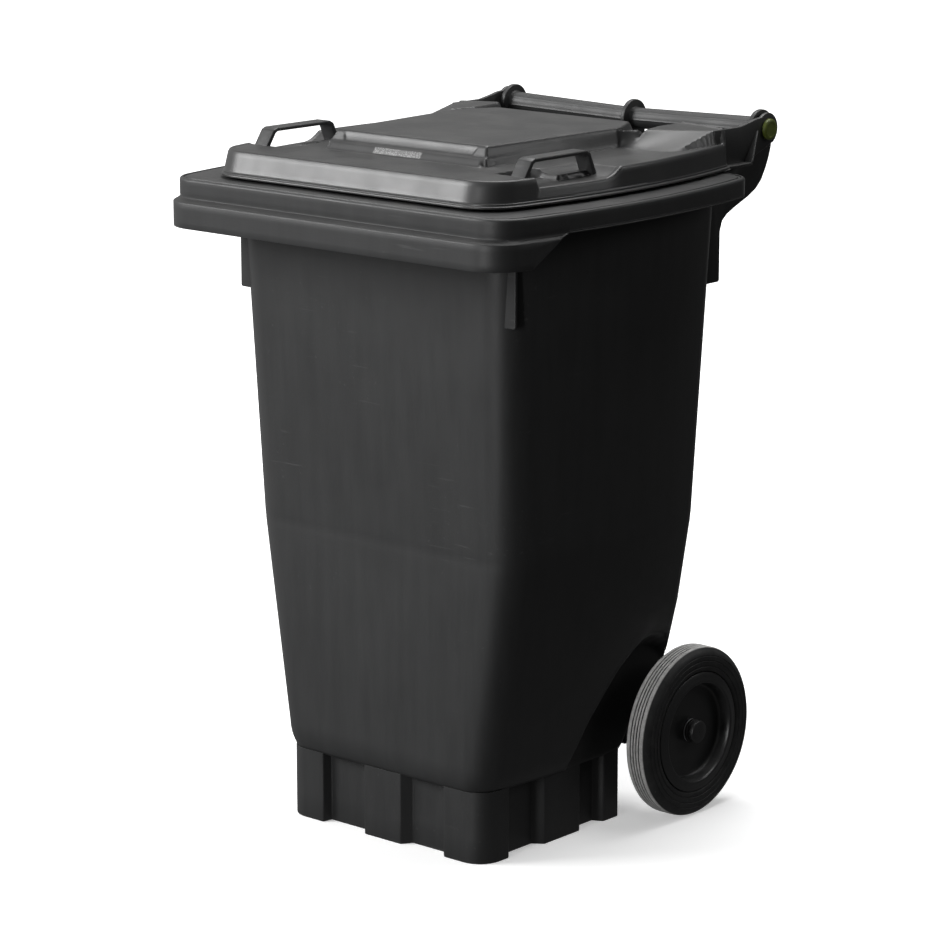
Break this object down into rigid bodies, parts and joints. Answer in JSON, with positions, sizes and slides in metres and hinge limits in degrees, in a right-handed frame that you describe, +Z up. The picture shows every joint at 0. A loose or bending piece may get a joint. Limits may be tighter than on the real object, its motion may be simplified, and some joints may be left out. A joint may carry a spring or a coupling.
{
  "type": "wheelie bin",
  "caption": "Two-wheeled plastic waste bin with a hinged lid, deep front lip, rear handle bar and rubber-tyred wheels on a steel axle.",
  "frame": {"origin": "on the ground under the middle of the bin's overall footprint rectangle", "axes": "+Z up, -Y to the front lip, +Y to the handle and wheels, +X to the right as seen from the front"},
  "size_m": [0.5372, 0.5594, 0.8085],
  "materials": {
    "body_plastic": "satin moulded polyethylene, dark charcoal",
    "lid_plastic": "semi-gloss moulded polyethylene, dark charcoal",
    "pin_plastic": "olive green moulded plastic",
    "plated_steel": "zinc plated",
    "cap_plastic": "satin moulded plastic",
    "wheel_plastic": "semi-gloss moulded plastic",
    "tyre_rubber": "solid rubber, dusty ribbed tread"
  },
  "bodies": {
    "bin": {"bin_body": "body_plastic", "hinge_pin_left": "pin_plastic", "hinge_pin_right": "pin_plastic"},
    "lid": {"lid": "lid_plastic"},
    "axle_set": {"axle": "plated_steel", "axle_cap_left": "cap_plastic", "axle_cap_right": "cap_plastic", "washer_left": "plated_steel", "washer_right": "plated_steel", "spacer_left": "cap_plastic", "spacer_right": "cap_plastic"},
    "wheel_left": {"wheel_rim_left": "wheel_plastic", "tyre_left": "tyre_rubber"},
    "wheel_right": {"wheel_rim_right": "wheel_plastic", "tyre_right": "tyre_rubber"}
  },
  "joints": [
    {"name": "lid_hinge", "type": "hinge", "parent": "bin", "child": "lid", "pos_m": [0, 0.25776, 0.7865], "axis": [-1, 0, 0], "range_deg": [0, 270]},
    {"name": "axle_spin", "type": "hinge", "parent": "bin", "child": "axle_set", "pos_m": [0, 0.11776, 0.1], "axis": [1, 0, 0], "continuous": true},
    {"name": "wheel_left_spin", "type": "hinge", "parent": "axle_set", "child": "wheel_left", "pos_m": [0, 0.11776, 0.1], "axis": [1, 0, 0], "continuous": true},
    {"name": "wheel_right_spin", "type": "hinge", "parent": "axle_set", "child": "wheel_right", "pos_m": [0, 0.11776, 0.1], "axis": [1, 0, 0], "continuous": true}
  ]
}
